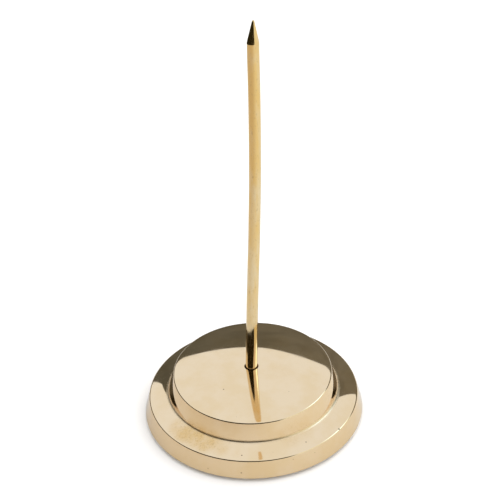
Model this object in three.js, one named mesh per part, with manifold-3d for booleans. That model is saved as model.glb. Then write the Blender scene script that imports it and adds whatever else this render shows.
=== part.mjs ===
// Spike stand: a pointed brass rod clamped upright in a cast brass base.
//
// The base is round and stepped, with a low domed top, and it is hollow underneath. The rod
// drops into a stepped socket in the top of the base. Its shoulder seats there, and its threaded
// tail comes out in the hollow, where two washers and a nut pull it tight. Four felt pads under
// the rim keep the metal off the table.
//
// Millimetres, +Z up. The origin is the middle of the base, on the surface that it stands on.

import * as THREE from 'three';
import { mergeVertices } from 'three/addons/utils/BufferGeometryUtils.js';
import Module from 'manifold-3d';

const wasm = await Module();
wasm.setup();

// ---- Driving dimensions -------------------------------------------------------------------

const CONTACT_GAP = 0.3;           // between faces that touch on the real object

const BASE_DIAMETER = 100;         // across the bottom edge
const BOTTOM_EDGE_BREAK = 0.5;     // filed chamfer round the bottom edge
const RING_WALL_HEIGHT = 8.97;     // outer wall of the lower step
const RING_WALL_DRAFT = 13.24;     // degrees from upright
const RING_TOP_WIDTH = 9.1;        // sloping top of the lower step, measured flat
const RING_TOP_SLOPE = 16.2;       // degrees from level, at its outer edge
const RING_SWEEP_RISE = 0.5;       // how far it has swept up off that slope at the wall
const RING_SWEEP_POWER = 3.4;      // more keeps the sweep closer to the wall
const STEP_WALL_HEIGHT = 9.05;     // wall of the upper step
const STEP_WALL_DRAFT = 15.9;      // degrees from upright
const DOME_RISE = 3.4;             // the domed top, from its rim to its middle
const DOME_POWER = 2.4;            // 2 is a parabola; more is flatter in the middle
const RIM_ROUND = 0.9;             // polished rim of each step
const STEP_FILLET = 1.5;           // hollow corner between the two steps

const UNDERSIDE_RIM_WIDTH = 16;    // flat rim that the pads are glued to
const PLATE_THICKNESS = 8.6;       // from the middle of the dome to the roof of the hollow
const HOLLOW_DRAFT = 3;            // degrees from upright
const HOLLOW_FILLET = 3;           // corner between the wall and the roof of the hollow

const SPIKE_DIAMETER = 5.36;
const SPIKE_EXPOSED_LENGTH = 183.8;
const POINT_LENGTH = 10.6;
const POINT_BLUNT_RADIUS = 0.5;
const SOCKET_GAP = 0.45;           // round the rod, in the mouth of the socket
const SOCKET_DEPTH = 4.5;          // down to the seat of the rod's shoulder
const SOCKET_OFFSET = -0.4;        // the socket is drilled a little off centre, along X
const SHOULDER_CHAMFER = 0.2;

const THREAD_DIAMETER = 4;         // M4 x 0.7
const THREAD_PITCH = 0.7;
const THREAD_DEPTH = 0.4;
const TAIL_PROTRUSION = 1.4;       // thread standing out of the nut

const WASHER_DIAMETER = 9;
const WASHER_THICKNESS = 0.8;
const SPRING_WASHER_DIAMETER = 7.6;
const SPRING_WASHER_THICKNESS = 0.9;
const SPRING_WASHER_SPLIT = 0.7;   // width of the slanted cut
const SPRING_WASHER_SLANT = 35;    // degrees from upright
const NUT_ACROSS_FLATS = 7;
const NUT_HEIGHT = 3.2;
const NUT_CHAMFER = 30;            // degrees
const NUT_COUNTERSINK = 0.35;

const PAD_COUNT = 4;
const PAD_DIAMETER = 10;
const PAD_THICKNESS = 1.2;
const PAD_FIRST_ANGLE = 45;        // degrees round from +X

// The rod has been knocked a little out of true. Each pair is a share of its exposed length
// and how far its middle stands from the base's axis there, along X.
const SPIKE_BEND = [
  [0, -0.37],
  [0.2, 1.26],
  [0.4, 3.2],
  [0.6, 4.75],
  [0.8, 5.6],
  [0.94, 5.9],
  [1, 6.3],
];

const BASE_FACETS = 72;
const SPIKE_FACETS = 20;
const HARDWARE_FACETS = 32;
const DOME_STEPS = 8;
const SWEEP_STEPS = 4;
const SHAFT_STEPS = 24;
const ARC_STEPS = 4;
const THREAD_ROWS_PER_TURN = 5;

// ---- Places worked out from the dimensions ------------------------------------------------

const tan = (degrees) => Math.tan(THREE.MathUtils.degToRad(degrees));

const baseZ = PAD_THICKNESS + CONTACT_GAP;
const baseRadius = BASE_DIAMETER / 2;
const ringRimRadius = baseRadius - RING_WALL_HEIGHT * tan(RING_WALL_DRAFT);
const ringRimZ = baseZ + RING_WALL_HEIGHT;
const stepFootRadius = ringRimRadius - RING_TOP_WIDTH;
const stepFootZ = ringRimZ + RING_TOP_WIDTH * tan(RING_TOP_SLOPE) + RING_SWEEP_RISE;
const stepRimRadius = stepFootRadius - STEP_WALL_HEIGHT * tan(STEP_WALL_DRAFT);
const stepRimZ = stepFootZ + STEP_WALL_HEIGHT;
const domeTopZ = stepRimZ + DOME_RISE;

const roofZ = domeTopZ - PLATE_THICKNESS;
const hollowMouthRadius = baseRadius - UNDERSIDE_RIM_WIDTH;
const hollowRoofRadius = hollowMouthRadius - (roofZ - baseZ) * tan(HOLLOW_DRAFT);

const spikeRadius = SPIKE_DIAMETER / 2;
const socketRadius = spikeRadius + SOCKET_GAP;
const seatZ = domeTopZ - SOCKET_DEPTH;
const shoulderZ = seatZ + CONTACT_GAP;
const tipZ = domeTopZ + SPIKE_EXPOSED_LENGTH;
const pointFootZ = tipZ - POINT_LENGTH;

const threadRadius = THREAD_DIAMETER / 2;
const threadClearRadius = threadRadius + CONTACT_GAP;
const washerZ = roofZ - CONTACT_GAP - WASHER_THICKNESS;
const springWasherZ = washerZ - CONTACT_GAP - SPRING_WASHER_THICKNESS;
const nutZ = springWasherZ - CONTACT_GAP - NUT_HEIGHT;
const tailEndZ = nutZ - TAIL_PROTRUSION;

// ---- Outlines -----------------------------------------------------------------------------

// Turns corners [r, z, rounding radius] into an outline, with an arc at each rounded corner.
function roundedOutline(corners) {
  const points = [];
  corners.forEach(([r, z, rounding], i) => {
    const corner = new THREE.Vector2(r, z);
    if (!rounding) {
      points.push(corner);
      return;
    }
    const before = new THREE.Vector2(...corners[i - 1]).sub(corner).normalize();
    const after = new THREE.Vector2(...corners[i + 1]).sub(corner).normalize();
    const halfAngle = Math.acos(before.dot(after)) / 2;
    const inward = before.clone().add(after).normalize();
    const centre = corner.clone().addScaledVector(inward, rounding / Math.sin(halfAngle));
    const reach = rounding / Math.tan(halfAngle);
    const from = corner.clone().addScaledVector(before, reach).sub(centre);
    const to = corner.clone().addScaledVector(after, reach).sub(centre);
    const turn = Math.atan2(from.cross(to), from.dot(to));
    for (let step = 0; step <= ARC_STEPS; step += 1) {
      const spoke = from.clone().rotateAround(new THREE.Vector2(), (turn * step) / ARC_STEPS);
      points.push(spoke.add(centre));
    }
  });
  return points;
}

// The top of the ring between its rim and the wall, which sweeps up more and more steeply.
function sweepCorners() {
  const corners = [];
  for (let step = 1; step < SWEEP_STEPS; step += 1) {
    const share = step / SWEEP_STEPS;
    const inward = RING_TOP_WIDTH * share;
    const sweep = RING_SWEEP_RISE * share ** RING_SWEEP_POWER;
    corners.push([ringRimRadius - inward, ringRimZ + inward * tan(RING_TOP_SLOPE) + sweep]);
  }
  return corners;
}

// The domed top, from its rim to its middle.
function domeCorners() {
  const corners = [];
  for (let step = 1; step <= DOME_STEPS; step += 1) {
    const share = 1 - step / DOME_STEPS;
    corners.push([stepRimRadius * share, domeTopZ - DOME_RISE * share ** DOME_POWER]);
  }
  return corners;
}

// ---- Solids -------------------------------------------------------------------------------

// Revolves an outline about Z. The outline runs from the axis at the bottom, out and up.
function revolve(outline, facets) {
  return new THREE.LatheGeometry(outline, facets).rotateX(Math.PI / 2);
}

function toSolid(geometry) {
  const bare = geometry.clone();
  bare.deleteAttribute('normal');
  bare.deleteAttribute('uv');
  const merged = mergeVertices(bare, 1e-4);
  const mesh = new wasm.Mesh({
    numProp: 3,
    vertProperties: new Float32Array(merged.attributes.position.array),
    triVerts: new Uint32Array(merged.index.array),
  });
  return new wasm.Manifold(mesh);
}

function toGeometry(solid) {
  const { vertProperties, triVerts } = solid.getMesh();
  const geometry = new THREE.BufferGeometry();
  geometry.setAttribute('position', new THREE.BufferAttribute(vertProperties, 3));
  geometry.setIndex(new THREE.BufferAttribute(triVerts, 1));
  geometry.computeVertexNormals();
  return geometry;
}

function cut(geometry, tool) {
  return toGeometry(toSolid(geometry).subtract(toSolid(tool)));
}

function common(geometry, other) {
  return toGeometry(toSolid(geometry).intersect(toSolid(other)));
}

// A flat ring from z = 0 up.
function flatRing(outerRadius, innerRadius, thickness) {
  const outline = [
    [innerRadius, 0],
    [outerRadius, 0],
    [outerRadius, thickness],
    [innerRadius, thickness],
    [innerRadius, 0],
  ];
  return revolve(roundedOutline(outline), HARDWARE_FACETS);
}

// ---- Base casting -------------------------------------------------------------------------

function castingGeometry() {
  const outline = roundedOutline([
    [0, roofZ],
    [hollowRoofRadius, roofZ, HOLLOW_FILLET],
    [hollowMouthRadius, baseZ],
    [baseRadius - BOTTOM_EDGE_BREAK, baseZ],
    [baseRadius, baseZ + BOTTOM_EDGE_BREAK],
    [ringRimRadius, ringRimZ, RIM_ROUND],
    ...sweepCorners(),
    [stepFootRadius, stepFootZ, STEP_FILLET],
    [stepRimRadius, stepRimZ, RIM_ROUND],
    ...domeCorners(),
  ]);
  return cut(revolve(outline, BASE_FACETS), socketTool());
}

// What is drilled out of the plate: the wide socket above its seat, and the hole for the tail.
function socketTool() {
  const above = domeTopZ + SOCKET_DEPTH;
  const below = roofZ - PLATE_THICKNESS;
  const outline = [
    [0, below],
    [threadClearRadius, below],
    [threadClearRadius, seatZ],
    [socketRadius, seatZ],
    [socketRadius, above],
    [0, above],
  ];
  return revolve(roundedOutline(outline), SPIKE_FACETS).translate(SOCKET_OFFSET, 0, 0);
}

// ---- Spike --------------------------------------------------------------------------------

const bend = new THREE.CubicInterpolant(
  SPIKE_BEND.map(([share]) => domeTopZ + share * SPIKE_EXPOSED_LENGTH),
  SPIKE_BEND.map(([, shift]) => shift),
  1,
);

// How far the rod's middle stands from the base's axis: upright in its socket, bent above it.
function spikeShift(z) {
  return z <= shoulderZ ? SOCKET_OFFSET : bend.evaluate(z)[0];
}

function spikeOutline() {
  const threadTopZ = roofZ + THREAD_PITCH;
  const rows = Math.round(((threadTopZ - tailEndZ) / THREAD_PITCH) * THREAD_ROWS_PER_TURN);
  const outline = [[0, tailEndZ]];
  for (let row = 0; row <= rows; row += 1) {
    outline.push([threadRadius, tailEndZ + ((threadTopZ - tailEndZ) * row) / rows]);
  }
  outline.push([threadRadius, shoulderZ]);
  outline.push([spikeRadius - SHOULDER_CHAMFER, shoulderZ]);
  outline.push([spikeRadius, shoulderZ + SHOULDER_CHAMFER]);
  for (let step = 0; step <= SHAFT_STEPS; step += 1) {
    outline.push([spikeRadius, domeTopZ + ((pointFootZ - domeTopZ) * step) / SHAFT_STEPS]);
  }
  outline.push([POINT_BLUNT_RADIUS, tipZ - POINT_BLUNT_RADIUS / 2]);
  outline.push([0, tipZ]);
  return { outline: roundedOutline(outline), threadTopZ };
}

// Depth of the thread's groove at a height and an angle, as a share: 0 on the crest.
function grooveShare(z, angle) {
  const turns = z / THREAD_PITCH - angle / (2 * Math.PI);
  return Math.abs(2 * (turns - Math.floor(turns)) - 1);
}

function spikeGeometry() {
  const { outline, threadTopZ } = spikeOutline();
  const geometry = revolve(outline, SPIKE_FACETS);
  const position = geometry.attributes.position;
  for (let i = 0; i < position.count; i += 1) {
    const z = position.getZ(i);
    const r = Math.hypot(position.getX(i), position.getY(i));
    const angle = (Math.floor(i / outline.length) * 2 * Math.PI) / SPIKE_FACETS;
    const threaded = r > 0 && z < threadTopZ - THREAD_PITCH / 4;
    const atEnd = z < tailEndZ + THREAD_PITCH / 4;
    const groove = threaded ? THREAD_DEPTH * (atEnd ? 1 : grooveShare(z, angle)) : 0;
    const scale = r > 0 ? (r - groove) / r : 1;
    position.setX(i, position.getX(i) * scale + spikeShift(z));
    position.setY(i, position.getY(i) * scale);
  }
  return geometry;
}

// ---- Fasteners and pads -------------------------------------------------------------------

function springWasherGeometry() {
  const diameter = SPRING_WASHER_DIAMETER;
  const middle = (diameter / 2 + threadClearRadius) / 2;
  const blade = new THREE.BoxGeometry(diameter, SPRING_WASHER_SPLIT, diameter);
  blade.rotateX(THREE.MathUtils.degToRad(SPRING_WASHER_SLANT));
  blade.translate(middle + threadClearRadius / 2, 0, SPRING_WASHER_THICKNESS / 2);
  const ring = flatRing(diameter / 2, threadClearRadius, SPRING_WASHER_THICKNESS);
  return cut(ring, blade);
}

function nutGeometry() {
  const cornerRadius = NUT_ACROSS_FLATS / 2 / Math.cos(Math.PI / 6);
  const flatRadius = NUT_ACROSS_FLATS / 2;
  const chamferDrop = (cornerRadius - flatRadius) * tan(NUT_CHAMFER);
  const prism = new THREE.CylinderGeometry(cornerRadius, cornerRadius, NUT_HEIGHT, 6);
  prism.rotateX(Math.PI / 2).translate(0, 0, NUT_HEIGHT / 2);
  const turned = revolve(
    roundedOutline([
      [threadClearRadius + NUT_COUNTERSINK, 0],
      [flatRadius, 0],
      [cornerRadius, chamferDrop],
      [cornerRadius, NUT_HEIGHT - chamferDrop],
      [flatRadius, NUT_HEIGHT],
      [threadClearRadius + NUT_COUNTERSINK, NUT_HEIGHT],
      [threadClearRadius, NUT_HEIGHT - NUT_COUNTERSINK],
      [threadClearRadius, NUT_COUNTERSINK],
      [threadClearRadius + NUT_COUNTERSINK, 0],
    ]),
    HARDWARE_FACETS,
  );
  return common(prism, turned);
}

function padGeometry() {
  const radius = PAD_DIAMETER / 2;
  const disc = new THREE.CylinderGeometry(radius, radius, PAD_THICKNESS, HARDWARE_FACETS);
  return disc.rotateX(Math.PI / 2).translate(0, 0, PAD_THICKNESS / 2);
}

// ---- Assembly -----------------------------------------------------------------------------

const castBrass = { color: 0xd9b98c, roughness: 0.12, metalness: 1 };
const drawnBrass = { color: 0xdcbc80, roughness: 0.16, metalness: 1 };
const machinedBrass = { color: 0xc9a25c, roughness: 0.35, metalness: 1 };
const springSteel = { color: 0x8a8a8c, roughness: 0.4, metalness: 1 };
const felt = { color: 0x2f4a36, roughness: 1, metalness: 0 };

const stand = new THREE.Group();

function place(name, geometry, finish, x = 0, y = 0, z = 0) {
  const mesh = new THREE.Mesh(geometry, new THREE.MeshStandardMaterial(finish));
  mesh.name = name;
  mesh.position.set(x, y, z);
  stand.add(mesh);
}

place('base_casting', castingGeometry(), castBrass);
place('spike', spikeGeometry(), drawnBrass);

const washer = flatRing(WASHER_DIAMETER / 2, threadClearRadius, WASHER_THICKNESS);
place('plain_washer', washer, machinedBrass, SOCKET_OFFSET, 0, washerZ);
place('spring_washer', springWasherGeometry(), springSteel, SOCKET_OFFSET, 0, springWasherZ);
place('hex_nut', nutGeometry(), machinedBrass, SOCKET_OFFSET, 0, nutZ);

const padRingRadius = baseRadius - UNDERSIDE_RIM_WIDTH / 2;
for (let pad = 0; pad < PAD_COUNT; pad += 1) {
  const angle = THREE.MathUtils.degToRad(PAD_FIRST_ANGLE + (360 * pad) / PAD_COUNT);
  const x = padRingRadius * Math.cos(angle);
  const y = padRingRadius * Math.sin(angle);
  place(`felt_pad_${pad + 1}`, padGeometry(), felt, x, y);
}

export default stand;
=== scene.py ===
"""Looks of the brass spike stand: a polished cast base, a drawn rod with a turned point,
the hardware that clamps it underneath, and four felt pads.

Metres, +Z up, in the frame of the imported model. Positions come from the model's own boxes.
"""

import math

import bmesh
import bpy
from mathutils import Matrix, Vector, noise


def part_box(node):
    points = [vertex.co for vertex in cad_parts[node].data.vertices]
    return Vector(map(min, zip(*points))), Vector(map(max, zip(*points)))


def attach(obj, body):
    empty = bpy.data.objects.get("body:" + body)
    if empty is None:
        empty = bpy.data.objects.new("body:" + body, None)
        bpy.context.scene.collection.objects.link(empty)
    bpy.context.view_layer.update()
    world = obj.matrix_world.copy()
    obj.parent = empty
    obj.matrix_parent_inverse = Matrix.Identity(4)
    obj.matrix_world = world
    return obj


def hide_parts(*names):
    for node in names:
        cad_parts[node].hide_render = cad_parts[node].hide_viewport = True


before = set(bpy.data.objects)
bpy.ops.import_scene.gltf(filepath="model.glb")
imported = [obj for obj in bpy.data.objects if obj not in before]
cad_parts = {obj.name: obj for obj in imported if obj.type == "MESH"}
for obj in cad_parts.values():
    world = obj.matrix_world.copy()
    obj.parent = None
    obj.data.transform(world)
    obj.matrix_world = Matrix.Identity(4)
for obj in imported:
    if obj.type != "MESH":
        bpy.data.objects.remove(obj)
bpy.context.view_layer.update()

MM = 0.001

# Without a seed, mathutils shifts its vector noise by the clock.
NOISE_SEED = 1
noise.seed_set(NOISE_SEED)

# ---- Sizes shared with the CAD model ---------------------------------------------------------

BOTTOM_EDGE_BREAK = 0.5 * MM
RING_WALL_HEIGHT = 8.97 * MM
RING_WALL_DRAFT = 13.24
RING_TOP_WIDTH = 9.1 * MM
RING_TOP_SLOPE = 16.2
RING_SWEEP_RISE = 0.5 * MM
RING_SWEEP_POWER = 3.4
STEP_WALL_HEIGHT = 9.05 * MM
STEP_WALL_DRAFT = 15.9
DOME_RISE = 3.4 * MM
DOME_POWER = 2.4
RIM_ROUND = 0.9 * MM
STEP_FILLET = 1.5 * MM
UNDERSIDE_RIM_WIDTH = 16 * MM
PLATE_THICKNESS = 8.6 * MM
HOLLOW_DRAFT = 3
HOLLOW_FILLET = 3 * MM
SPIKE_RADIUS = 2.68 * MM
SOCKET_RADIUS = 3.13 * MM
SOCKET_DEPTH = 4.5 * MM
SOCKET_OFFSET = -0.4 * MM
SHOULDER_CHAMFER = 0.2 * MM
THREAD_RADIUS = 2 * MM
THREAD_PITCH = 0.7 * MM
THREAD_DEPTH = 0.4 * MM
POINT_LENGTH = 10.6 * MM
SPRING_WASHER_SPLIT = 0.7 * MM
SPRING_WASHER_SLANT = 35
NUT_CHAMFER = 30
NUT_COUNTERSINK = 0.35 * MM
PAD_COUNT = 4
# Room left between two faces that touch on the real object.
FACE_GAP = 0.3 * MM

# ---- Places read from the frame --------------------------------------------------------------

base_low, base_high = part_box("base_casting")
spike_low, spike_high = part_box("spike")
base_z = base_low.z
base_radius = base_high.x


def tan(degrees):
    return math.tan(math.radians(degrees))


ring_rim_radius = base_radius - RING_WALL_HEIGHT * tan(RING_WALL_DRAFT)
ring_rim_z = base_z + RING_WALL_HEIGHT
step_foot_radius = ring_rim_radius - RING_TOP_WIDTH
step_foot_z = ring_rim_z + RING_TOP_WIDTH * tan(RING_TOP_SLOPE) + RING_SWEEP_RISE
step_rim_radius = step_foot_radius - STEP_WALL_HEIGHT * tan(STEP_WALL_DRAFT)
step_rim_z = step_foot_z + STEP_WALL_HEIGHT
dome_top_z = step_rim_z + DOME_RISE
roof_z = dome_top_z - PLATE_THICKNESS
hollow_mouth_radius = base_radius - UNDERSIDE_RIM_WIDTH
hollow_roof_radius = hollow_mouth_radius - (roof_z - base_z) * tan(HOLLOW_DRAFT)
seat_z = dome_top_z - SOCKET_DEPTH
shoulder_z = seat_z + FACE_GAP
point_foot_z = spike_high.z - POINT_LENGTH

# ---- Mesh helpers ----------------------------------------------------------------------------

ARC_STEPS = 8
SHARP_ANGLE = 20
MERGE_DISTANCE = 0.0005 * MM


def smoothstep(low, high, value):
    share = min(max((value - low) / (high - low), 0.0), 1.0)
    return share * share * (3 - 2 * share)


def polar(radius, angle, z):
    return Vector((radius * math.cos(angle), radius * math.sin(angle), z))


def rounded(corners):
    """An outline through corners (r, z, rounding), with an arc at each rounded corner."""
    points = []
    for i, (r, z, rounding) in enumerate(corners):
        corner = Vector((r, z))
        if not rounding:
            points.append(corner)
            continue
        before = (Vector(corners[i - 1][:2]) - corner).normalized()
        after = (Vector(corners[(i + 1) % len(corners)][:2]) - corner).normalized()
        half = before.angle(after) / 2
        centre = corner + (before + after).normalized() * (rounding / math.sin(half))
        start = corner + before * (rounding / math.tan(half)) - centre
        end = corner + after * (rounding / math.tan(half)) - centre
        turn = math.atan2(start.x * end.y - start.y * end.x, start.dot(end))
        for step in range(ARC_STEPS + 1):
            spoke = Matrix.Rotation(turn * step / ARC_STEPS, 2) @ start
            points.append(centre + spoke)
    return points


def refine(points, longest, closed=True):
    """Splits each long stretch of an outline, so that the mesh is even."""
    out = []
    for i, point in enumerate(points):
        last = i == len(points) - 1
        if last and not closed:
            out.append(point)
            continue
        following = points[(i + 1) % len(points)]
        parts = max(1, math.ceil((following - point).length / longest))
        out += [point.lerp(following, part / parts) for part in range(parts)]
    return out


def lathe(name, outline, segments, closed, shape=None):
    """Revolves an outline of (r, z) about Z. shape(r, angle, z, row) may place each point."""
    verts = []
    faces = []
    rows = len(outline)
    for segment in range(segments):
        angle = 2 * math.pi * segment / segments
        for row, (r, z) in enumerate(outline):
            verts.append(shape(r, angle, z, row) if shape else polar(r, angle, z))
    for segment in range(segments):
        here = segment * rows
        there = ((segment + 1) % segments) * rows
        for row in range(rows if closed else rows - 1):
            following = (row + 1) % rows
            faces.append((here + row, there + row, there + following, here + following))
    return mesh_object(name, verts, faces)


def mesh_object(name, verts, faces):
    """A smooth object with its doubled points merged and its sharp edges kept sharp."""
    mesh = bpy.data.meshes.new(name)
    mesh.from_pydata(verts, [], faces)
    work = bmesh.new()
    work.from_mesh(mesh)
    bmesh.ops.remove_doubles(work, verts=work.verts, dist=MERGE_DISTANCE)
    bmesh.ops.recalc_face_normals(work, faces=work.faces)
    work.to_mesh(mesh)
    work.free()
    mesh.polygons.foreach_set("use_smooth", [True] * len(mesh.polygons))
    mesh.set_sharp_from_angle(angle=math.radians(SHARP_ANGLE))
    piece = bpy.data.objects.new(name, mesh)
    bpy.context.scene.collection.objects.link(piece)
    return piece


def stand_for(piece, node, slot, *materials):
    """Puts a piece in the place of a CAD node, with its materials."""
    for material in materials:
        piece.data.materials.append(material)
    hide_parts(node)
    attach(piece, "root")


# ---- Material helpers ------------------------------------------------------------------------

# Share of its reach over which a spot is at full strength.
SPOT_CORE = 0.3


class Shader:
    """A material or world tree, with one call for each node."""

    def __init__(self, owner):
        owner.use_nodes = True
        self.tree = owner.node_tree
        self.tree.nodes.clear()

    def add(self, kind, inputs=None, **settings):
        made = self.tree.nodes.new(kind)
        for key, value in settings.items():
            setattr(made, key, value)
        for key, value in (inputs or {}).items():
            if isinstance(value, bpy.types.NodeSocket):
                self.tree.links.new(value, made.inputs[key])
            else:
                made.inputs[key].default_value = value
        return made

    def math(self, operation, a, b=0.0, c=0.0):
        return self.add("ShaderNodeMath", {0: a, 1: b, 2: c}, operation=operation).outputs[0]

    def weigh(self, x, a, y, b):
        """a times x, plus b times y."""
        return self.math("MULTIPLY_ADD", x, a, self.math("MULTIPLY", y, b))

    def step(self, value, low, high, out_low=0.0, out_high=1.0):
        inputs = {"Value": value, 1: low, 2: high, 3: out_low, 4: out_high}
        return self.add("ShaderNodeMapRange", inputs, interpolation_type="SMOOTHSTEP").outputs[0]

    def band(self, value, low, high, blur):
        """1 where value lies between low and high, with soft edges."""
        rising = self.step(value, low - blur, low + blur)
        falling = self.step(value, high - blur, high + blur, 1.0, 0.0)
        return self.math("MULTIPLY", rising, falling)

    def split(self, vector):
        outputs = self.add("ShaderNodeSeparateXYZ", {0: vector}).outputs
        return outputs["X"], outputs["Y"], outputs["Z"]

    def radius(self, x, y):
        return self.math("SQRT", self.weigh(x, x, y, y))

    def join(self, x, y, z):
        return self.add("ShaderNodeCombineXYZ", {0: x, 1: y, 2: z}).outputs[0]

    def stretch(self, vector, scale):
        inputs = {0: vector, 1: scale}
        return self.add("ShaderNodeVectorMath", inputs, operation="MULTIPLY").outputs[0]

    def place(self):
        return self.add("ShaderNodeTexCoord").outputs["Object"]

    def stored(self, name):
        return self.add("ShaderNodeAttribute", attribute_name=name).outputs["Vector"]

    def noise(self, vector, scale, detail=2.0, roughness=0.5, distortion=0.0):
        inputs = {"Vector": vector, "Scale": scale, "Detail": detail}
        inputs |= {"Roughness": roughness, "Distortion": distortion}
        return self.add("ShaderNodeTexNoise", inputs).outputs["Fac"]

    def near(self, vector, point, reach):
        """1 in the core round a point, falling to 0 at its reach."""
        inputs = {0: vector, 1: point}
        distance = self.add("ShaderNodeVectorMath", inputs, operation="DISTANCE").outputs["Value"]
        return self.step(distance, reach * SPOT_CORE, reach, 1.0, 0.0)

    def mix(self, share, first, second):
        inputs = {"Factor": share, 6: first, 7: second}
        return self.add("ShaderNodeMix", inputs, data_type="RGBA").outputs[2]

    def bump(self, height, depth, strength=1.0):
        inputs = {"Strength": strength, "Distance": depth, "Height": height}
        return self.add("ShaderNodeBump", inputs).outputs[0]

    def principled(self, **inputs):
        named = {key.replace("_", " ").title(): value for key, value in inputs.items()}
        shader = self.add("ShaderNodeBsdfPrincipled", named)
        self.add("ShaderNodeOutputMaterial", {"Surface": shader.outputs[0]})


def new_material(name):
    material = bpy.data.materials.new(name)
    return material, Shader(material)


def colour(r, g, b):
    return (r, g, b, 1.0)


# ---- Studio ----------------------------------------------------------------------------------

# The softbox is a rectangle overhead, measured on a level plane one unit up.
SOFTBOX_YAW = 66.2
SOFTBOX_FAR = 1.463
SOFTBOX_NEAR = 0.7
SOFTBOX_HALF_WIDTH = 1.7
SOFTBOX_BLUR = 0.012
SOFTBOX_LIGHT = colour(0.99, 1.13, 1.38)
# Its lamp shows as a brighter round patch, at these X and Y on the same plane.
LAMP_PLACE = (1.28, 0.3, 0.0)
LAMP_REACH = 0.68
LAMP_LIGHT = colour(2.05, 3.0, 4.3)
# The panel stands at the right, measured on an upright plane one unit away.
PANEL_FRONT = -1.66
PANEL_BACK = 0.42
PANEL_EDGE_LEAN = 0.82
PANEL_BLUR = 0.05
PANEL_REACH = 50.0
PANEL_LIGHT = colour(1.0, 1.15, 1.15)
# Least slope of a direction when it is carried out to one of these planes.
LEAST_SLOPE = 0.001
# The room behind. Each pair says where a part of it starts and where it is complete.
WALL_LEFT = colour(0.123, 0.133, 0.13)
WALL_RIGHT = colour(0.205, 0.21, 0.2)
WALL_TURN = (-0.4, 0.4)
WALL_FOOT = (0.02, 0.08)
SMUDGE_SCALE = 7
SMUDGE_STRENGTH = 0.22
FAR_TABLE = colour(0.6, 0.58, 0.55)
FAR_TABLE_EDGE = (-0.16, -0.1)
FAR_TABLE_END = (-0.45, -0.3)
DARK_ROOM = colour(0.026, 0.025, 0.014)
DARK_ROOM_END = (-0.1, 0.3)
FILL_LEFT = colour(0.88, 0.87, 0.86)
FILL_RIGHT = colour(1.84, 1.82, 1.80)
BACKDROP = colour(1.0, 1.0, 1.0)


def build_world():
    """A softbox overhead, a bright panel at the right and a dim wall behind, by direction.

    The camera sees plain white, and matt surfaces get soft light, stronger from the right.
    """
    world = bpy.data.worlds.new("studio")
    bpy.context.scene.world = world
    s = Shader(world)
    direction = s.add("ShaderNodeTexCoord").outputs["Generated"]
    x, y, z = s.split(direction)
    up = s.math("MAXIMUM", z, LEAST_SLOPE)
    room = s.mix(panel_mask(s, x, y, z), room_light(s, direction), PANEL_LIGHT)
    mirrored = s.mix(softbox_mask(s, x, y, up), room, softbox_light(s, x, y, up))
    fill = s.mix(s.step(x, -1.0, 1.0), FILL_LEFT, FILL_RIGHT)
    rays = s.add("ShaderNodeLightPath").outputs
    matt = s.mix(rays["Is Diffuse Ray"], mirrored, fill)
    seen = s.mix(rays["Is Camera Ray"], matt, BACKDROP)
    background = s.add("ShaderNodeBackground", {"Color": seen, "Strength": 1.0})
    s.add("ShaderNodeOutputWorld", {"Surface": background.outputs[0]})
    world.cycles.sampling_method = "NONE"


def softbox_mask(s, x, y, up):
    """1 where the softbox is."""
    cos = math.cos(math.radians(SOFTBOX_YAW))
    sin = math.sin(math.radians(SOFTBOX_YAW))
    along = s.math("DIVIDE", s.weigh(x, cos, y, sin), up)
    across = s.math("DIVIDE", s.weigh(y, cos, x, -sin), up)
    length = s.band(along, -SOFTBOX_NEAR, SOFTBOX_FAR, SOFTBOX_BLUR)
    width = s.band(across, -SOFTBOX_HALF_WIDTH, SOFTBOX_HALF_WIDTH, SOFTBOX_BLUR)
    return s.math("MULTIPLY", length, width)


def softbox_light(s, x, y, up):
    """Even light, brighter over the lamp."""
    level = s.join(s.math("DIVIDE", x, up), s.math("DIVIDE", y, up), 0.0)
    lamp = s.near(level, LAMP_PLACE, LAMP_REACH)
    return s.mix(lamp, SOFTBOX_LIGHT, LAMP_LIGHT)


def panel_mask(s, x, y, z):
    """1 where the panel is. Its front edge leans."""
    side = s.math("MAXIMUM", x, LEAST_SLOPE)
    level = s.math("DIVIDE", y, side)
    leaning = s.math("MULTIPLY_ADD", s.math("DIVIDE", z, side), -PANEL_EDGE_LEAN, level)
    front = s.band(leaning, PANEL_FRONT, PANEL_REACH, PANEL_BLUR)
    back = s.band(level, -PANEL_REACH, PANEL_BACK, PANEL_BLUR)
    return s.math("MULTIPLY", front, back)


def room_light(s, direction):
    """A smudged wall at the back with a far table below it, and darkness in front."""
    x, y, z = s.split(direction)
    smudges = s.noise(direction, SMUDGE_SCALE, detail=3, roughness=0.6)
    smudged = s.step(smudges, 0.35, 0.65, 0.0, SMUDGE_STRENGTH)
    wall = s.mix(smudged, s.mix(s.step(x, *WALL_TURN), WALL_LEFT, WALL_RIGHT), DARK_ROOM)
    below = s.step(z, *FAR_TABLE_EDGE, 1.0, 0.0)
    far_table = s.math("MULTIPLY", below, s.step(x, *FAR_TABLE_END))
    back = s.mix(far_table, s.mix(s.step(z, *WALL_FOOT), DARK_ROOM, wall), FAR_TABLE)
    return s.mix(s.step(y, *DARK_ROOM_END), DARK_ROOM, back)


FLOOR_SEEN_RADIUS = 0.74
FLOOR_SEEN_MIDDLE = Vector((0.25, -0.30, 0.0))
FLOOR_RADIUS = 3.0
FLOOR_SEGMENTS = 128
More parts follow.
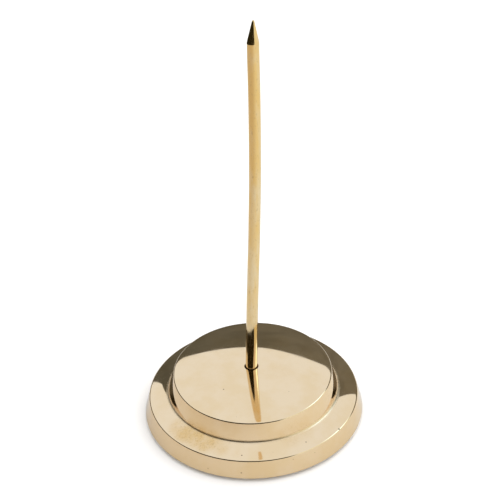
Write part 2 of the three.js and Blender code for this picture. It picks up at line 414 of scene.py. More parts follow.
# Painted light: its mirror image grows lighter towards +X and, by this share, towards +Y, with
# painted shade towards the left and the front.
FLOOR_PAINTED_SHADE = colour(0.53, 0.51, 0.50)
FLOOR_PAINTED_LIGHT = colour(0.74, 0.80, 0.86)
FLOOR_PAINTED_LIGHT_RANGE = (-0.32, 0.14)
FLOOR_PAINTED_LIGHT_Y_SHARE = 0.35
PAPER_CREAM = colour(0.955, 0.95, 0.945)
PAPER_WHITE = colour(0.97, 0.968, 0.965)
PAPER_CLOUDS_PER_METRE = 30
PAPER_TOOTH_PER_METRE = 2500
PAPER_TOOTH_DEPTH = 0.02 * MM


def build_floor():
    """A pale table top. Its outer part is left out of reflections, as on a small table."""
    material = floor_paper()
    inner = ring_sheet("floor_near", 0.0, FLOOR_SEEN_RADIUS)
    outer = ring_sheet("floor_far", FLOOR_SEEN_RADIUS, FLOOR_RADIUS)
    outer.visible_glossy = False
    for part in (inner, outer):
        part.data.transform(Matrix.Translation(FLOOR_SEEN_MIDDLE))
        part.data.materials.append(material)


def ring_sheet(name, inner, outer):
    return lathe(name, [(inner, 0.0), (outer, 0.0)], FLOOR_SEGMENTS, False)


def floor_paper():
    """White paper. In reflections it carries painted light: painted shade towards the left and the
    front, lighter towards the right.
    """
    material, s = new_material("floor_paper")
    place = s.place()
    x, y, _ = s.split(place)
    white = s.mix(s.noise(place, PAPER_CLOUDS_PER_METRE, detail=3), PAPER_CREAM, PAPER_WHITE)
    # Painted light and shade on the paper, seen only in reflections.
    light = s.step(s.weigh(x, 1.0, y, FLOOR_PAINTED_LIGHT_Y_SHARE), *FLOOR_PAINTED_LIGHT_RANGE)
    mirrored = s.mix(light, FLOOR_PAINTED_SHADE, FLOOR_PAINTED_LIGHT)
    direct = s.add("ShaderNodeLightPath").outputs["Is Camera Ray"]
    tint = s.mix(direct, mirrored, white)
    tooth = s.noise(place, PAPER_TOOTH_PER_METRE, detail=3)
    s.principled(base_color=tint, roughness=0.9, normal=s.bump(tooth, PAPER_TOOTH_DEPTH))
    return material


CAMERA_PITCH = 36.65
CAMERA_ROLL = -2.35
CAMERA_DISTANCE = 1.1
CAMERA_LENS = 179.69
CAMERA_AIM = Vector((1.12 * MM, 0.0, 90.45 * MM))


def build_camera():
    pitch = math.radians(CAMERA_PITCH)
    roll = math.radians(CAMERA_ROLL)
    forward = Vector((0, math.cos(pitch), -math.sin(pitch)))
    upright = Vector((0, math.sin(pitch), math.cos(pitch)))
    level = Vector((1, 0, 0))
    right = math.cos(roll) * level + math.sin(roll) * upright
    up = math.cos(roll) * upright - math.sin(roll) * level
    data = bpy.data.cameras.new("camera")
    data.lens = CAMERA_LENS
    camera = bpy.data.objects.new("camera", data)
    turn = Matrix((right, up, -forward)).transposed().to_4x4()
    aim = CAMERA_AIM + Vector((0, 0, base_z))
    camera.matrix_world = Matrix.Translation(aim - CAMERA_DISTANCE * forward) @ turn
    bpy.context.scene.collection.objects.link(camera)
    bpy.context.scene.camera = camera


# ---- Base casting ----------------------------------------------------------------------------

BASE_SEGMENTS = 384
DOME_STEPS = 30
SWEEP_STEPS = 11
WALL_STEPS = 12
WALL_CROWN = 0.06 * MM
LONGEST_STEP = 1.0 * MM
CAST_STEP = 0.55 * MM
MOUTH_ROUND = 0.2 * MM
EDGE_ROUND = 0.15 * MM
RIM_ROLL_WIDTH = 2.5 * MM
RIM_ROLL_DROP = 0.06 * MM
BORE_RADIUS = THREAD_RADIUS + 0.1 * MM
WAVE_HEIGHT = 0.010 * MM
WAVE_LENGTH = 22 * MM
RIPPLE_HEIGHT = 0.0025 * MM
RIPPLE_LENGTH = 9 * MM
WAVES_START = 1 * MM
WAVES_FULL = 5 * MM
RIPPLE_SEED = Vector((7, 3, 5))
SHIFT_KEPT_TO = 4 * MM
SHIFT_GONE_AT = 14 * MM
SPOT_FACE_RADIUS = 6 * MM
SPOT_FACE_BLEND = 1 * MM
SPOT_FACE_LIP = 0.5 * MM
MOUTH_BLEND = 1.5 * MM
UNDERSIDE_MARGIN = 0.1 * MM
FACING_DOWN = -0.9
SAND_HEIGHT = 0.11 * MM
SAND_LENGTH = 1.7 * MM
SWELL_HEIGHT = 0.2 * MM
SWELL_LENGTH = 12 * MM
POLISHED, AS_CAST, TURNED = range(3)


def dome_height(r):
    """The domed top, which rolls off a little more steeply next to its rim."""
    share = r / step_rim_radius
    roll = max(0.0, (r - step_rim_radius + RIM_ROLL_WIDTH) / RIM_ROLL_WIDTH)
    return dome_top_z - DOME_RISE * share**DOME_POWER - RIM_ROLL_DROP * roll**2


def ring_height(r):
    """The top of the ring: a slope that sweeps up more and more steeply towards the wall."""
    inward = ring_rim_radius - r
    sweep = max(0.0, inward / RING_TOP_WIDTH) ** RING_SWEEP_POWER
    return ring_rim_z + inward * tan(RING_TOP_SLOPE) + RING_SWEEP_RISE * sweep


def hollow_outline():
    """From the bolt hole out over the roof of the hollow, down its wall to the mouth."""
    corners = [
        (BORE_RADIUS, roof_z, 0),
        (hollow_roof_radius, roof_z, HOLLOW_FILLET),
        (hollow_mouth_radius, base_z, 0),
    ]
    return refine(rounded(corners), CAST_STEP, closed=False)


def outside_outline():
    """From the mouth of the hollow out round the base, up to the socket and down into it.

    The wall's points keep clear of the fillet at its foot and of the rounding at its rim.
    """
    sweep = []
    for step in range(1, SWEEP_STEPS):
        r = ring_rim_radius - RING_TOP_WIDTH * step / SWEEP_STEPS
        sweep.append((r, ring_height(r), 0))
    wall = []
    for step in range(2, WALL_STEPS - 1):
        share = step / WALL_STEPS
        r = step_foot_radius + (step_rim_radius - step_foot_radius) * share
        z = step_foot_z + (dome_height(step_rim_radius) - step_foot_z) * share
        wall.append((r + WALL_CROWN * 4 * share * (1 - share), z, 0))
    dome = []
    for step in range(1, DOME_STEPS):
        r = step_rim_radius + (SOCKET_RADIUS - step_rim_radius) * step / DOME_STEPS
        dome.append((r, dome_height(r), 0))
    corners = [
        (hollow_mouth_radius, base_z, 0),
        (base_radius - BOTTOM_EDGE_BREAK, base_z, EDGE_ROUND),
        (base_radius, base_z + BOTTOM_EDGE_BREAK, EDGE_ROUND),
        (ring_rim_radius, ring_rim_z, RIM_ROUND),
        *sweep,
        (step_foot_radius, step_foot_z, STEP_FILLET),
        *wall,
        (step_rim_radius, dome_height(step_rim_radius), RIM_ROUND),
        *dome,
        (SOCKET_RADIUS, dome_height(SOCKET_RADIUS), MOUTH_ROUND),
        (SOCKET_RADIUS, seat_z, 0),
        (BORE_RADIUS, seat_z, 0),
    ]
    return refine(rounded(corners), LONGEST_STEP, closed=False)


def base_shape(r, angle, z, row, hollow_rows):
    """Moves the socket off centre, waves the polished skin and roughens the hollow."""
    shift = SOCKET_OFFSET * (1 - smoothstep(SHIFT_KEPT_TO, SHIFT_GONE_AT, r))
    point = polar(r, angle, z)
    if row < hollow_rows:
        apart = smoothstep(SPOT_FACE_RADIUS, SPOT_FACE_RADIUS + SPOT_FACE_BLEND, r)
        apart *= smoothstep(base_z, base_z + MOUTH_BLEND, z)
        sand = SAND_HEIGHT * noise.noise_vector(point / SAND_LENGTH)
        swell = SWELL_HEIGHT * noise.noise_vector(point / SWELL_LENGTH)
        return point + apart * (sand + swell) + Vector((shift, 0, 0))
    wave = WAVE_HEIGHT * noise.noise_vector(point / WAVE_LENGTH)
    ripple = RIPPLE_HEIGHT * noise.noise_vector(point / RIPPLE_LENGTH + RIPPLE_SEED)
    outside = smoothstep(base_z + WAVES_START, base_z + WAVES_FULL, z)
    return point + outside * (wave + ripple) + Vector((shift, 0, 0))


def build_base():
    hollow = hollow_outline()
    outline = hollow + outside_outline()[1:]

    def shape(r, angle, z, row):
        return base_shape(r, angle, z, row, len(hollow))

    base = lathe("base_polished", outline, BASE_SEGMENTS, True, shape)
    for face in base.data.polygons:
        face.material_index = finish_of(face)
    stand_for(base, "base_casting", "cast_brass", polished_brass(), as_cast_brass(), turned_brass())


def finish_of(face):
    """Which of the base's three finishes a face has."""
    r = math.hypot(face.center.x, face.center.y)
    under = face.normal.z < FACING_DOWN and face.center.z < base_z + UNDERSIDE_MARGIN
    if under and r > hollow_mouth_radius:
        return TURNED
    inside = r < hollow_mouth_radius and face.center.z < roof_z + 2 * SWELL_HEIGHT
    if inside and r > SPOT_FACE_RADIUS + SPOT_FACE_LIP:
        return AS_CAST
    return TURNED if inside and r > BORE_RADIUS else POLISHED


PALE_BRASS = colour(0.805, 0.59, 0.35)
WARM_BRASS = colour(0.775, 0.545, 0.29)
TARNISH = colour(0.70, 0.43, 0.16)
TARNISH_FLECK = colour(0.42, 0.24, 0.08)
PIT_COLOUR = colour(0.16, 0.10, 0.05)
# Azimuth in degrees, radius, reach and strength of each brown stain.
RING_STAINS = [
    (216, 42.5 * MM, 7 * MM, 0.6),
    (223, 42.0 * MM, 8 * MM, 0.9),
    (231, 41.5 * MM, 8 * MM, 1.0),
    (239, 42.0 * MM, 8 * MM, 0.9),
    (247, 42.0 * MM, 7 * MM, 0.45),
]
WALL_STAINS = [
    (295, 14.5 * MM, 8 * MM, 0.35),
    (302, 15.0 * MM, 8 * MM, 0.3),
]
DOME_STAINS = [
    (340, 14.0 * MM, 9 * MM, 0.16),
    (205, 24.0 * MM, 9 * MM, 0.08),
]
# Azimuth, radius and size of each casting pit in the dome and in the ring's top.
DOME_PITS = [(228, 20 * MM, 0.4 * MM), (312, 24 * MM, 0.2 * MM)]
RING_PITS = [(262, 45 * MM, 0.4 * MM), (301, 44 * MM, 0.4 * MM), (323, 47.5 * MM, 0.6 * MM)]
# Azimuth, height and size of each casting pit in the ring's wall.
WALL_PITS = [
    (262, 3.2 * MM, 0.4 * MM),
    (244, 2.7 * MM, 0.3 * MM),
    (290, 7.0 * MM, 0.25 * MM),
    (303, 6.3 * MM, 0.25 * MM),
]
# The corner at the foot of the upper step, where the buff does not reach.
CORNER_REACH = 1.7 * MM
CORNER_ROUGHNESS = 0.3
# The lines left by the buff.
LINE_WIDTH = 0.2 * MM
LINES_PER_RADIAN = 4
LINE_ROUGHNESS = 0.02
LINE_HEIGHT = 0.004
# Spacing of the clouds, haze, flecks and small pits of the skin.
CLOUDS_PER_METRE = 70
HAZE_PER_METRE = 160
FLECKS_PER_METRE = 1100
STAIN_CLOUDS_PER_METRE = 150
STAIN_FLECKS_PER_METRE = 900
PIT_CELLS_PER_METRE = 260.0
PIT_CHOICE = (0.86, 0.9)
PIT_SPREAD = (0.015, 0.045)
SMALL_PIT_STRENGTH = 0.6
PIT_ROUGHNESS = 0.3
PIT_DEPTH = 0.04 * MM
SKIN_STRENGTH = 0.6


def polished_brass():
    """Mirror polish over cast brass: faint clouds, circular buffing lines, stains and pits."""
    material, s = new_material("cast_brass_polished")
    place = s.place()
    cloud = s.noise(place, CLOUDS_PER_METRE, detail=4, roughness=0.6)
    tint = s.mix(s.step(cloud, 0.38, 0.68, 0.0, 0.8), PALE_BRASS, WARM_BRASS)
    stain = stain_mask(s, place)
    tint = s.mix(stain, tint, TARNISH)
    fleck = s.noise(place, FLECKS_PER_METRE, detail=4, roughness=0.7)
    stained_fleck = s.math("MULTIPLY", stain, s.step(fleck, 0.52, 0.68, 0.0, 0.7))
    tint = s.mix(stained_fleck, tint, TARNISH_FLECK)
    pits = pit_mask(s, place)
    tint = s.mix(pits, tint, PIT_COLOUR)
    lines = buffing_lines(s, place)
    haze = s.step(s.noise(place, HAZE_PER_METRE, detail=4), 0.3, 0.7, 0.018, 0.045)
    dull = s.weigh(pits, PIT_ROUGHNESS, inside_corner(s, place), CORNER_ROUGHNESS)
    gloss = s.math("ADD", s.math("MULTIPLY_ADD", lines, LINE_ROUGHNESS, haze), dull)
    height = s.math("SUBTRACT", s.math("MULTIPLY", lines, LINE_HEIGHT), pits)
    skin = s.bump(height, PIT_DEPTH, SKIN_STRENGTH)
    s.principled(base_color=tint, metallic=1.0, roughness=gloss, normal=skin)
    return material


def inside_corner(s, place):
    """1 in the corner at the foot of the upper step."""
    x, y, z = s.split(place)
    section = s.join(s.radius(x, y), z, 0.0)
    return s.near(section, (step_foot_radius, step_foot_z, 0.0), CORNER_REACH)


def buffing_lines(s, place):
    """Fine lines that run round the axis, broken up along their length."""
    x, y, z = s.split(place)
    turn = s.math("ARCTAN2", y, x)
    spread = (1 / LINE_WIDTH, LINES_PER_RADIAN, 1 / LINE_WIDTH)
    along = s.stretch(s.join(s.radius(x, y), turn, z), spread)
    return s.noise(along, 1.0, detail=3, roughness=0.7)


def stain_mask(s, place):
    """How strongly the skin is stained, cloudy and flecked inside each stain."""
    spots = []
    for azimuth, r, reach, strength in RING_STAINS:
        spots.append((polar(r, math.radians(azimuth), ring_height(r)), reach, strength))
    for azimuth, r, reach, strength in DOME_STAINS:
        spots.append((polar(r, math.radians(azimuth), dome_height(r)), reach, strength))
    for azimuth, height, reach, strength in WALL_STAINS:
        r = step_foot_radius - (height - step_foot_z) * tan(STEP_WALL_DRAFT)
        spots.append((polar(r, math.radians(azimuth), height), reach, strength))
    total = 0.0
    for point, reach, strength in spots:
        spot = s.math("MULTIPLY", s.near(place, point, reach), strength)
        total = s.math("MAXIMUM", total, spot)
    cloud = s.noise(place, STAIN_CLOUDS_PER_METRE, detail=3, roughness=0.5)
    fleck = s.noise(place, STAIN_FLECKS_PER_METRE, detail=4, roughness=0.7)
    cloudy = s.math("MULTIPLY", total, s.step(cloud, 0.3, 0.65, 0.45, 1.0))
    return s.math("MULTIPLY", cloudy, s.step(fleck, 0.3, 0.7, 0.75, 1.0))


def pit_mask(s, place):
    """1 in each casting pit, and less in the small pits scattered over the skin."""
    cells = s.add("ShaderNodeTexVoronoi", {"Vector": place, "Scale": PIT_CELLS_PER_METRE})
    chosen = s.step(s.split(cells.outputs["Color"])[0], *PIT_CHOICE)
    small = s.step(cells.outputs["Distance"], *PIT_SPREAD, 1.0, 0.0)
    total = s.math("MULTIPLY", s.math("MULTIPLY", chosen, small), SMALL_PIT_STRENGTH)
    pits = []
    for azimuth, r, size in DOME_PITS:
        pits.append((polar(r, math.radians(azimuth), dome_height(r)), size))
    for azimuth, r, size in RING_PITS:
        pits.append((polar(r, math.radians(azimuth), ring_height(r)), size))
    for azimuth, height, size in WALL_PITS:
        r = base_radius - height * tan(RING_WALL_DRAFT)
        pits.append((polar(r, math.radians(azimuth), base_z + height), size))
    for point, size in pits:
        total = s.math("MAXIMUM", total, s.near(place, point, size))
    return total


CAST_DARK = colour(0.30, 0.19, 0.085)
CAST_BROWN = colour(0.42, 0.28, 0.12)
CAST_WORN = colour(0.62, 0.44, 0.2)
CAST_GRAIN_PER_METRE = 1500
CAST_PATCHES_PER_METRE = 110
CAST_GRAIN_DEPTH = 0.12 * MM


def as_cast_brass():
    """Sand-cast skin: dull, brown and grainy, with brighter high spots."""
    material, s = new_material("cast_brass_rough")
    place = s.place()
    grain = s.noise(place, CAST_GRAIN_PER_METRE, detail=5, roughness=0.7)
    patch = s.noise(place, CAST_PATCHES_PER_METRE, detail=4, roughness=0.6)
    tint = s.mix(s.step(patch, 0.35, 0.65), CAST_DARK, CAST_BROWN)
    tint = s.mix(s.step(grain, 0.55, 0.72, 0.0, 0.7), tint, CAST_WORN)
    gloss = s.step(grain, 0.35, 0.7, 0.62, 0.4)
    skin = s.bump(grain, CAST_GRAIN_DEPTH)
    s.principled(base_color=tint, metallic=1.0, roughness=gloss, normal=skin)
    return material


TURNED_BRIGHT = colour(0.70, 0.50, 0.24)
TURNED_DARK = colour(0.60, 0.40, 0.18)
TURNED_CLOUDS_PER_METRE = 140
TURNING_PITCH = 0.28 * MM
TURNING_HEIGHT = 0.5
TURNING_DEPTH = 0.01 * MM


def turned_brass():
    """Lathe-turned face: satin, with fine rings round the axis."""
    material, s = new_material("cast_brass_turned")
    place = s.place()
    x, y, _ = s.split(place)
    groove = s.math("SINE", s.math("MULTIPLY", s.radius(x, y), 2 * math.pi / TURNING_PITCH))
    lines = buffing_lines(s, place)
    cloud = s.noise(place, TURNED_CLOUDS_PER_METRE, detail=4)
    tint = s.mix(cloud, TURNED_BRIGHT, TURNED_DARK)
    gloss = s.step(lines, 0.3, 0.7, 0.24, 0.38)
    skin = s.bump(s.math("MULTIPLY_ADD", groove, TURNING_HEIGHT, lines), TURNING_DEPTH)
    s.principled(base_color=tint, metallic=1.0, roughness=gloss, normal=skin)
    return material


# ---- Spike -----------------------------------------------------------------------------------

SPIKE_SEGMENTS = 80
SPIKE_ROW = 1.0 * MM
THREAD_ROW = THREAD_PITCH / 12
THREAD_RUNOUT = 1.5 * THREAD_PITCH
THREAD_LEAD = 0.7 * THREAD_PITCH
THREAD_LEAD_SHARE = 0.8
THREAD_CREST_SHARE = 0.12
THREAD_ROOT_SHARE = 0.16
THREAD_TOP_Z = roof_z + THREAD_PITCH
TIP_RADIUS = 0.5 * MM
TIP_HEIGHT_SHARE = 0.35
TIP_ROUND = 0.28 * MM
POINT_FOOT_ROUND = 3.0 * MM
ROD_WAVE_HEIGHT = 0.012 * MM
ROD_WAVE_LENGTH = 14 * MM


def centreline():
    """Heights and middles of the rod, read from the rings of the CAD node's vertices."""
    rings = {}
    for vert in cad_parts["spike"].data.vertices:
        rings.setdefault(round(vert.co.z, 6), set()).add(round(vert.co.x, 6))
    heights = sorted(z for z, ring in rings.items() if len(ring) > 2 and z > seat_z)
    middles = [(min(rings[z]) + max(rings[z])) / 2 for z in heights]
    return heights, middles


def spike_middle(z, heights, middles):
    """The rod's middle at a height, on a smooth curve through the CAD node's rings."""
    if z <= heights[0]:
        return middles[0]
    if z >= heights[-1]:
        return middles[-1]
    i = next(k for k in range(1, len(heights)) if heights[k] >= z)
    span = heights[i] - heights[i - 1]
    before = slope(heights, middles, max(i - 2, 0), i)
    after = slope(heights, middles, i - 1, min(i + 1, len(heights) - 1))
    t = (z - heights[i - 1]) / span
    x = (2 * t**3 - 3 * t**2 + 1) * middles[i - 1] + (3 * t**2 - 2 * t**3) * middles[i]
    return x + ((t**3 - 2 * t**2 + t) * before + (t**3 - t**2) * after) * span


def slope(heights, middles, low, high):
    """How steeply the rod leans between two of its rings."""
    return (middles[high] - middles[low]) / (heights[high] - heights[low])


def thread_groove(z, angle):
    """Depth of the groove at a height and an angle: a flat crest, straight flanks, a flat root."""
    turns = z / THREAD_PITCH - angle / (2 * math.pi)
    away = abs(2 * (turns - math.floor(turns)) - 1)
    share = (away - THREAD_CREST_SHARE) / (1 - THREAD_CREST_SHARE - THREAD_ROOT_SHARE)
    return THREAD_DEPTH * min(max(share, 0.0), 1.0)


def spike_outline():
    """From the foot of the threaded tail up past the shoulder to the tip."""
    corners = [
        (SPIKE_RADIUS - SHOULDER_CHAMFER, shoulder_z, 0),
        (SPIKE_RADIUS, shoulder_z + SHOULDER_CHAMFER, 0),
        (SPIKE_RADIUS, point_foot_z, POINT_FOOT_ROUND),
        (TIP_RADIUS, spike_high.z - TIP_RADIUS * TIP_HEIGHT_SHARE, TIP_ROUND),
        (0.0, spike_high.z, 0),
    ]
    upper = refine(rounded(corners), SPIKE_ROW, closed=False)
    rows = math.ceil((THREAD_TOP_Z - spike_low.z) / THREAD_ROW)
    tail = [Vector((0.0, spike_low.z))]
    for row in range(rows + 1):
        z = spike_low.z + (THREAD_TOP_Z - spike_low.z) * row / rows
        tail.append(Vector((THREAD_RADIUS, z)))
    tail.append(Vector((THREAD_RADIUS, shoulder_z)))
    return tail + upper


def build_spike():
    heights, middles = centreline()
    outline = spike_outline()

    def shape(r, angle, z, row):
        threaded = 0 < r <= THREAD_RADIUS and z < THREAD_TOP_Z - THREAD_PITCH / 4
        runout = smoothstep(THREAD_TOP_Z, THREAD_TOP_Z - THREAD_RUNOUT, z)
        lead = 1 - smoothstep(spike_low.z, spike_low.z + THREAD_LEAD, z)
        groove = thread_groove(z, angle) * runout if threaded else 0.0
        end = lead * THREAD_DEPTH * THREAD_LEAD_SHARE if threaded else 0.0
        point = polar(r - max(groove, end), angle, z)
        wave = ROD_WAVE_HEIGHT * noise.noise_vector(point / ROD_WAVE_LENGTH)
        free = smoothstep(seat_z, dome_top_z, z)
        placed = point + free * Vector((wave.x + spike_middle(z, heights, middles), wave.y, 0))
        placed.x += (1 - free) * SOCKET_OFFSET
        return placed

    spike = lathe("spike_rod", outline, SPIKE_SEGMENTS, False, shape)
    stored = spike.data.attributes.new("straight", "FLOAT_VECTOR", "POINT")
    for i, vert in enumerate(spike.data.vertices):
        stored.data[i].vector = nearest_straight(vert.co, heights, middles)
    stand_for(spike, "spike", "drawn_brass", drawn_brass())


def nearest_straight(point, heights, middles):
    """Where a point of the bent rod would be if the rod were straight."""
    free = smoothstep(seat_z, dome_top_z, point.z)
    middle = free * spike_middle(point.z, heights, middles) + (1 - free) * SOCKET_OFFSET
    return Vector((point.x - middle, point.y, point.z))


ROD_YELLOW = colour(0.78, 0.595, 0.34)
ROD_ORANGE = colour(0.78, 0.51, 0.185)
ROD_DULL = colour(0.55, 0.38, 0.17)
# Details of the rod per metre, across it twice and then along it.
ROD_LINES = (3200, 3200, 45)
ROD_PATCHES = (160, 160, 34)
ROD_STREAKS = (650, 650, 110)
ROD_SPECKS = (1100, 1100, 500)
POINT_RINGS = (60, 60, 6000)
STREAK_SHARE = 0.35
POINT_BLEND = 0.4 * MM
ROD_LINE_DEPTH = 0.006 * MM


def drawn_brass():
    """Drawn rod: lines along it, slow changes of colour, and turning rings on its point."""
    material, s = new_material("drawn_brass_rod")
    place = s.stored("straight")
    _, _, z = s.split(place)
    lines = s.noise(s.stretch(place, ROD_LINES), 1.0, detail=3, roughness=0.65)
    specks = s.noise(s.stretch(place, ROD_SPECKS), 1.0, detail=4, roughness=0.7)
    tint = s.mix(rod_warmth(s, place, z), ROD_YELLOW, ROD_ORANGE)
    tint = s.mix(s.step(specks, 0.55, 0.68, 0.0, 0.6), tint, ROD_DULL)
    pointed = s.step(z, point_foot_z - POINT_BLEND, point_foot_z + POINT_BLEND)
    rings = s.noise(s.stretch(place, POINT_RINGS), 1.0, detail=3, roughness=0.6)
    drawn = s.math("MULTIPLY", lines, s.math("SUBTRACT", 1.0, pointed))
    skin = s.bump(s.math("MULTIPLY_ADD", rings, pointed, drawn), ROD_LINE_DEPTH)
    gloss = s.math("ADD", s.step(lines, 0.3, 0.7, 0.07, 0.12), s.step(specks, 0.6, 0.8, 0.0, 0.1))
    s.principled(base_color=tint, metallic=1.0, roughness=gloss, normal=skin)
    return material


def rod_warmth(s, place, z):
    """0 where the rod is yellow and 1 where it is orange: in patches, and more towards the top."""
    patches = s.noise(s.stretch(place, ROD_PATCHES), 1.0, detail=3, roughness=0.6)
    streaks = s.noise(s.stretch(place, ROD_STREAKS), 1.0, detail=4, roughness=0.65)
    patch = s.step(patches, 0.36, 0.64, -0.15, 0.55)
    mottle = s.weigh(patch, 1.0, s.step(streaks, 0.35, 0.65), STREAK_SHARE)
    upper = s.step(z, dome_top_z, spike_high.z, -0.3, 0.6)
    warm = s.math("MAXIMUM", s.math("ADD", mottle, upper), 0.0)
    return s.math("MINIMUM", warm, 1.0)


# ---- Fasteners -------------------------------------------------------------------------------

HARDWARE_SEGMENTS = 144
EYE_RADIUS = THREAD_RADIUS + 0.12 * MM
ROLLED_EDGE = 0.22 * MM
BURR_EDGE = 0.05 * MM
HARDWARE_STEP = 0.3 * MM
SPRING_WASHER_EDGE = 0.08 * MM
NUT_FACE_SHARE = 0.97
NUT_CORNER_SHARE = 1.145
NUT_LEVELS = 24
NUT_STEP = 0.4 * MM
NUT_FLAT_TURN = 60


def round_place(node):
    """Axis, radius across X, and lowest and highest level of a round CAD node."""
    low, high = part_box(node)
    axis = Vector(((low.x + high.x) / 2, (low.y + high.y) / 2, 0))
    return axis, (high.x - low.x) / 2, low.z, high.z


def build_plain_washer():
    """Stamped washer: its upper edges are rolled over, and its lower ones carry a fine burr."""
    axis, radius, low, high = round_place("plain_washer")
    corners = [
        (EYE_RADIUS, low, BURR_EDGE),
        (radius, low, BURR_EDGE),
        (radius, high, ROLLED_EDGE),
        (EYE_RADIUS, high, ROLLED_EDGE),
    ]

    def shape(r, angle, z, row):
        return polar(r, angle, z) + axis

    outline = refine(rounded(corners), HARDWARE_STEP)
    washer = lathe("plain_washer_stamped", outline, HARDWARE_SEGMENTS, True, shape)
    stand_for(washer, "plain_washer", "machined_brass", machined_brass("washer", axis))


def build_spring_washer():
    """A square-section ring, split by a slanted cut and clamped flat."""
    axis, radius, low, high = round_place("spring_washer")
    corners = [
        (EYE_RADIUS, low, SPRING_WASHER_EDGE),
        (radius, low, SPRING_WASHER_EDGE),
        (radius, high, SPRING_WASHER_EDGE),
        (EYE_RADIUS, high, SPRING_WASHER_EDGE),
    ]
    section = rounded(corners)
    middle_z = (low + high) / 2
    half_gap = SPRING_WASHER_SPLIT / math.cos(math.radians(SPRING_WASHER_SLANT)) / 2
    verts = []
    for station in range(HARDWARE_SEGMENTS + 1):
        share = station / HARDWARE_SEGMENTS
        for r, z in section:
            gap = half_gap / r
            lean = (middle_z - z) * tan(SPRING_WASHER_SLANT) / r
            verts.append(polar(r, gap + share * 2 * (math.pi - gap) + lean, z) + axis)
    count = len(section)
    faces = [tuple(range(count)), tuple(range(len(verts) - 1, len(verts) - 1 - count, -1))]
    for station in range(HARDWARE_SEGMENTS):
        here = station * count
        there = here + count
        for i in range(count):
            after = (i + 1) % count
            faces.append((here + i, there + i, there + after, here + after))
    washer = mesh_object("spring_washer_split", verts, faces)
    stand_for(washer, "spring_washer", "spring_steel", spring_steel(axis))


def build_nut():
    """Hexagon nut with turned chamfers, blunted corners and a countersunk hole."""
    axis, flat_radius, low, high = round_place("hex_nut")
    face_radius = flat_radius * NUT_FACE_SHARE
    mouth = EYE_RADIUS + NUT_COUNTERSINK
    bore = [(EYE_RADIUS, high - NUT_COUNTERSINK, 0), (EYE_RADIUS, low + NUT_COUNTERSINK, 0)]
    outline = refine(rounded([(mouth, low, 0), (face_radius, low, 0)]), NUT_STEP, closed=False)
    first_side = len(outline)
    for level in range(NUT_LEVELS + 1):
        outline.append(Vector((flat_radius, low + (high - low) * level / NUT_LEVELS)))
    last_side = len(outline)
    outline += rounded([(face_radius, high, 0), (mouth, high, 0)] + bore)

    def shape(r, angle, z, row):
        if first_side <= row < last_side:
            r = hexagon(angle, flat_radius)
            drop = (r - face_radius) * tan(NUT_CHAMFER)
            z = min(max(z, low + drop), high - drop)
        return polar(r, angle, z) + axis

    nut = lathe("hex_nut_turned", outline, HARDWARE_SEGMENTS, True, shape)
    stand_for(nut, "hex_nut", "machined_brass", machined_brass("nut", axis))


def hexagon(angle, flat_radius):
    """Radius of a hexagon whose flats face +X and -X, with its corners slightly blunted."""
    half = NUT_FLAT_TURN / 2
    off = (math.degrees(angle) + half) % NUT_FLAT_TURN - half
    return min(flat_radius / math.cos(math.radians(off)), flat_radius * NUT_CORNER_SHARE)


HARDWARE_BRIGHT = colour(0.72, 0.53, 0.27)
HARDWARE_DARK = colour(0.60, 0.41, 0.18)
HARDWARE_MARK = colour(0.34, 0.22, 0.1)
HARDWARE_PATCHES_PER_METRE = 700
HARDWARE_MARKS_PER_METRE = 2600
HARDWARE_LINE_DEPTH = 0.012 * MM


def machined_brass(name, axis):
    """Turned and stamped hardware: satin, with rings round its hole and dark marks."""
    material, s = new_material("machined_brass_" + name)
    place = place_about(s, axis)
    patch = s.noise(place, HARDWARE_PATCHES_PER_METRE, detail=4, roughness=0.65)
    tint = s.mix(s.step(patch, 0.35, 0.65), HARDWARE_BRIGHT, HARDWARE_DARK)
    marks = s.step(s.noise(place, HARDWARE_MARKS_PER_METRE, detail=3), 0.6, 0.75, 0.0, 0.6)
    tint = s.mix(marks, tint, HARDWARE_MARK)
    gloss = s.step(patch, 0.3, 0.7, 0.26, 0.42)
    skin = s.bump(buffing_lines(s, place), HARDWARE_LINE_DEPTH)
    s.principled(base_color=tint, metallic=1.0, roughness=gloss, normal=skin)
    return material


def place_about(s, axis):
    """The place on a piece, measured from the piece's own axis."""
    inputs = {0: s.place(), 1: axis}
    return s.add("ShaderNodeVectorMath", inputs, operation="SUBTRACT").outputs[0]


ZINC_DARK = colour(0.42, 0.42, 0.44)
ZINC_PALE = colour(0.52, 0.52, 0.52)
WHITE_RUST = colour(0.66, 0.66, 0.64)
SPANGLES_PER_METRE = 900
BLOOM_PER_METRE = 2200
BLOOM_ROUGHNESS = 0.3
ZINC_LINE_DEPTH = 0.01 * MM


def spring_steel(axis):
    """Zinc plated spring steel: cloudy grey, with a faint bloom of white rust."""
    material, s = new_material("spring_steel_plated")
    place = place_about(s, axis)
    spangle = s.noise(place, SPANGLES_PER_METRE, detail=3, roughness=0.6)
    tint = s.mix(s.step(spangle, 0.35, 0.65), ZINC_DARK, ZINC_PALE)
    rust = s.noise(place, BLOOM_PER_METRE, detail=5, roughness=0.7)
    bloom = s.step(rust, 0.58, 0.75, 0.0, 0.5)
    tint = s.mix(bloom, tint, WHITE_RUST)
    plating = s.step(spangle, 0.3, 0.7, 0.3, 0.42)
    gloss = s.math("ADD", plating, s.math("MULTIPLY", bloom, BLOOM_ROUGHNESS))
    skin = s.bump(buffing_lines(s, place), ZINC_LINE_DEPTH)
    s.principled(base_color=tint, metallic=1.0, roughness=gloss, normal=skin)
    return material


# ---- Felt pads -------------------------------------------------------------------------------

PAD_SEGMENTS = 160
PAD_STEP = 0.14 * MM
PAD_EDGE_ROUND = 0.4 * MM
PAD_TOP_ROUND = 0.12 * MM
FIBRE_HEIGHT = 0.07 * MM
FIBRE_LENGTH = 0.32 * MM
CUT_WANDER = 0.08 * MM
CUT_WANDERS = 3
CUT_STARTS_AT = 0.6
GLUE_FADE = 0.3 * MM
PAD_SEED_X = 3.7
PAD_SEED_Y = 1.9


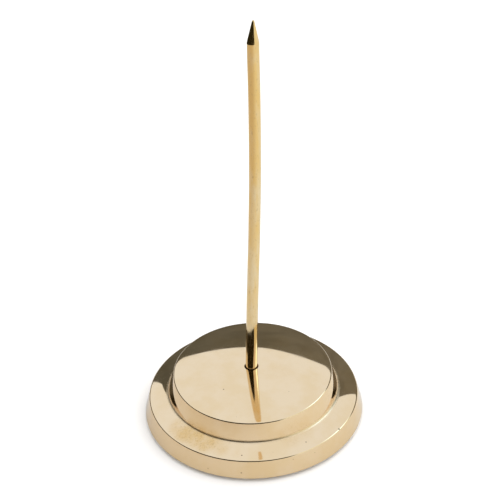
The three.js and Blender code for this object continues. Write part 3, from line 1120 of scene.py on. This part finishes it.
def build_pad(number, material):
    """A die-cut felt disc, glued to the rim, its lower edge worn round and its skin woolly."""
    axis, radius, low, _ = round_place(f"felt_pad_{number}")
    side = radius - CUT_WANDER - FIBRE_HEIGHT
    corners = [
        (0.0, low + FIBRE_HEIGHT, 0),
        (side, low + FIBRE_HEIGHT, PAD_EDGE_ROUND),
        (side, base_z, PAD_TOP_ROUND),
        (0.0, base_z, 0),
    ]
    seed = Vector((number * PAD_SEED_X, number * PAD_SEED_Y, 0))

    def shape(r, angle, z, row):
        point = polar(r, angle, z)
        outer = smoothstep(CUT_STARTS_AT * side, side, r)
        wander = CUT_WANDER * noise.noise(polar(CUT_WANDERS, angle, 0) + seed)
        wool = FIBRE_HEIGHT * noise.noise_vector(point / FIBRE_LENGTH + seed)
        wool.z *= 1 - smoothstep(base_z - GLUE_FADE, base_z, z)
        return polar(r + wander * outer, angle, z) + wool + axis

    outline = refine(rounded(corners), PAD_STEP, closed=False)
    pad = lathe(f"felt_pad_cut_{number}", outline, PAD_SEGMENTS, False, shape)
    stand_for(pad, f"felt_pad_{number}", "felt", material)


FELT_SHADE = colour(0.022, 0.05, 0.032)
FELT_GREEN = colour(0.075, 0.132, 0.088)
FELT_LOFT = colour(0.05, 0.1, 0.062)
FELT_FLECK = colour(0.19, 0.24, 0.175)
FIBRES_PER_METRE = 3800
LOFT_PER_METRE = 700
FELT_FLECKS_PER_METRE = 6500
LOFT_SHARE = 0.5
FELT_DEPTH = 0.1 * MM


def green_felt():
    """Pressed wool: matted fibres in mixed greens, with pale flecks."""
    material, s = new_material("green_felt")
    place = s.place()
    mat = s.noise(place, FIBRES_PER_METRE, detail=6, roughness=0.75, distortion=2.5)
    loft = s.noise(place, LOFT_PER_METRE, detail=3, roughness=0.6)
    tint = s.mix(s.step(mat, 0.32, 0.68), FELT_SHADE, FELT_GREEN)
    tint = s.mix(s.step(loft, 0.35, 0.7, 0.0, 0.4), tint, FELT_LOFT)
    fleck = s.noise(place, FELT_FLECKS_PER_METRE, detail=2, roughness=0.5, distortion=4.0)
    tint = s.mix(s.step(fleck, 0.66, 0.76, 0.0, 0.5), tint, FELT_FLECK)
    skin = s.bump(s.math("MULTIPLY_ADD", loft, LOFT_SHARE, mat), FELT_DEPTH)
    sheen = {"sheen_weight": 0.35, "sheen_roughness": 0.5}
    s.principled(base_color=tint, roughness=0.95, normal=skin, **sheen)
    return material


# ---- Assembly --------------------------------------------------------------------------------

build_camera()
build_world()
build_floor()
build_base()
build_spike()
build_plain_washer()
build_spring_washer()
build_nut()
felt = green_felt()
for pad in range(1, PAD_COUNT + 1):
    build_pad(pad, felt)

bpy.context.scene.view_settings.view_transform = "Standard"
